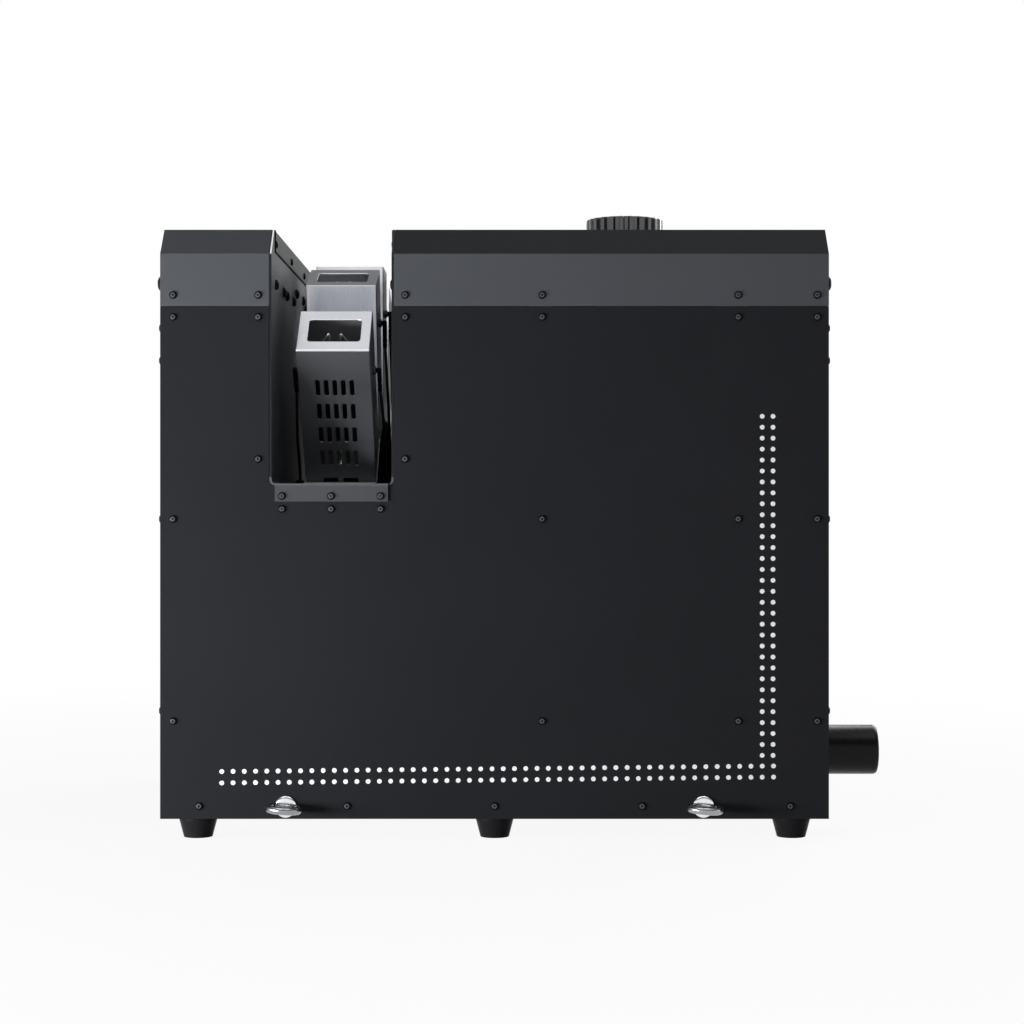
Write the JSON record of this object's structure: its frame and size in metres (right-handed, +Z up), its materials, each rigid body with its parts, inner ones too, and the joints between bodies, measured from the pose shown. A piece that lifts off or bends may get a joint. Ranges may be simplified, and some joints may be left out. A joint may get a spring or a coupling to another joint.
{
  "type": "stage flame machine",
  "caption": "Black steel stage flame machine: closed cabinet on rubber feet, open slot with a fan of slotted burner chimneys, screw filler cap, side air stub and lifting eyes.",
  "frame": {"origin": "centre of the bounding box's footprint, on the floor under the feet", "axes": "+X to the right seen from the front, along the cabinet's width with the side stub; +Y from the front to the rear; +Z up, out of the flame slot"},
  "size_m": [0.715, 0.6128, 0.624],
  "materials": {
    "black_paint": "satin powder coat",
    "grey_paint": "satin powder coat",
    "motor_paint": "satin",
    "steel": "brushed",
    "chrome": "polished",
    "brass": "satin",
    "aluminium": "satin",
    "rubber": "matte",
    "gloss_black": "gloss",
    "black_plastic": "matte",
    "red_plastic": "gloss",
    "insulator": "semi-matte",
    "display_glass": "gloss",
    "board": "satin"
  },
  "bodies": {
    "machine": {"base_tray": "black_paint", "front_panel": "black_paint", "rear_panel": "black_paint", "left_side_panel": "black_paint", "right_side_panel": "black_paint", "left_lid": "grey_paint", "right_lid": "grey_paint", "slot_liner": "grey_paint", "left_partition": "grey_paint", "right_partition": "grey_paint", "tank_shelf": "grey_paint", "foot_1": "rubber", "foot_2": "rubber", "foot_3": "rubber", "foot_4": "rubber", "foot_5": "rubber", "foot_6": "rubber", "eye_bolt_left": "chrome", "eye_bolt_right": "chrome", "burner_carrier": "steel", "chimney_1": "steel", "chimney_2": "steel", "chimney_3": "steel", "chimney_4": "steel", "chimney_5": "steel", "electrode_1_left": "insulator", "electrode_1_right": "insulator", "electrode_2_left": "insulator", "electrode_2_right": "insulator", "electrode_3_left": "insulator", "electrode_3_right": "insulator", "electrode_4_left": "insulator", "electrode_4_right": "insulator", "electrode_5_left": "insulator", "electrode_5_right": "insulator", "burner_jet_1": "brass", "burner_jet_2": "brass", "burner_jet_3": "brass", "burner_jet_4": "brass", "burner_jet_5": "brass", "valve_block": "aluminium", "fuel_tank": "aluminium", "pump_unit": "motor_paint", "pressure_pipe": "steel", "side_pipe": "gloss_black", "fan_frame": "black_plastic", "power_supply": "aluminium", "ignition_unit": "black_plastic", "control_plate": "black_paint", "display_window": "display_glass", "control_board": "board"},
    "gasket": {"cap_gasket": "rubber"},
    "cap": {"fuel_cap": "gloss_black"},
    "fan": {"fan_rotor": "black_plastic"},
    "button_1": {"menu_button_1": "black_plastic"},
    "button_2": {"menu_button_2": "black_plastic"},
    "button_3": {"menu_button_3": "black_plastic"},
    "button_4": {"menu_button_4": "black_plastic"},
    "stop": {"emergency_stop": "red_plastic"},
    "rocker": {"power_rocker": "black_plastic"}
  },
  "joints": [
    {"name": "cap_rise", "type": "slide", "parent": "machine", "child": "gasket", "axis": [0, 0, 1], "range_m": [0, 0.008]},
    {"name": "cap_turn", "type": "hinge", "parent": "gasket", "child": "cap", "pos_m": [0.1055, -0.1004, 0.597], "axis": [0, 0, 1], "range_deg": [0, 720]},
    {"name": "fan_spin", "type": "hinge", "parent": "machine", "child": "fan", "pos_m": [0.2275, -0.1674, 0.0767], "axis": [1, 0, 0], "continuous": true},
    {"name": "menu_press_1", "type": "slide", "parent": "machine", "child": "button_1", "axis": [0, -1, 0], "range_m": [0, 0.0015], "stiffness_N_per_m": 600, "springref_m": -0.001},
    {"name": "menu_press_2", "type": "slide", "parent": "machine", "child": "button_2", "axis": [0, -1, 0], "range_m": [0, 0.0015], "stiffness_N_per_m": 600, "springref_m": -0.001},
    {"name": "menu_press_3", "type": "slide", "parent": "machine", "child": "button_3", "axis": [0, -1, 0], "range_m": [0, 0.0015], "stiffness_N_per_m": 600, "springref_m": -0.001},
    {"name": "menu_press_4", "type": "slide", "parent": "machine", "child": "button_4", "axis": [0, -1, 0], "range_m": [0, 0.0015], "stiffness_N_per_m": 600, "springref_m": -0.001},
    {"name": "stop_press", "type": "slide", "parent": "machine", "child": "stop", "axis": [0, -1, 0], "range_m": [0, 0.005]},
    {"name": "rocker_tip", "type": "hinge", "parent": "machine", "child": "rocker", "pos_m": [-0.0745, 0.2799, 0.27], "axis": [1, 0, 0], "range_deg": [-16, 0]}
  ],
  "couplings": [
    {"joint": "cap_rise", "follows": "cap_turn", "m_per_rad": 0.000636}
  ]
}
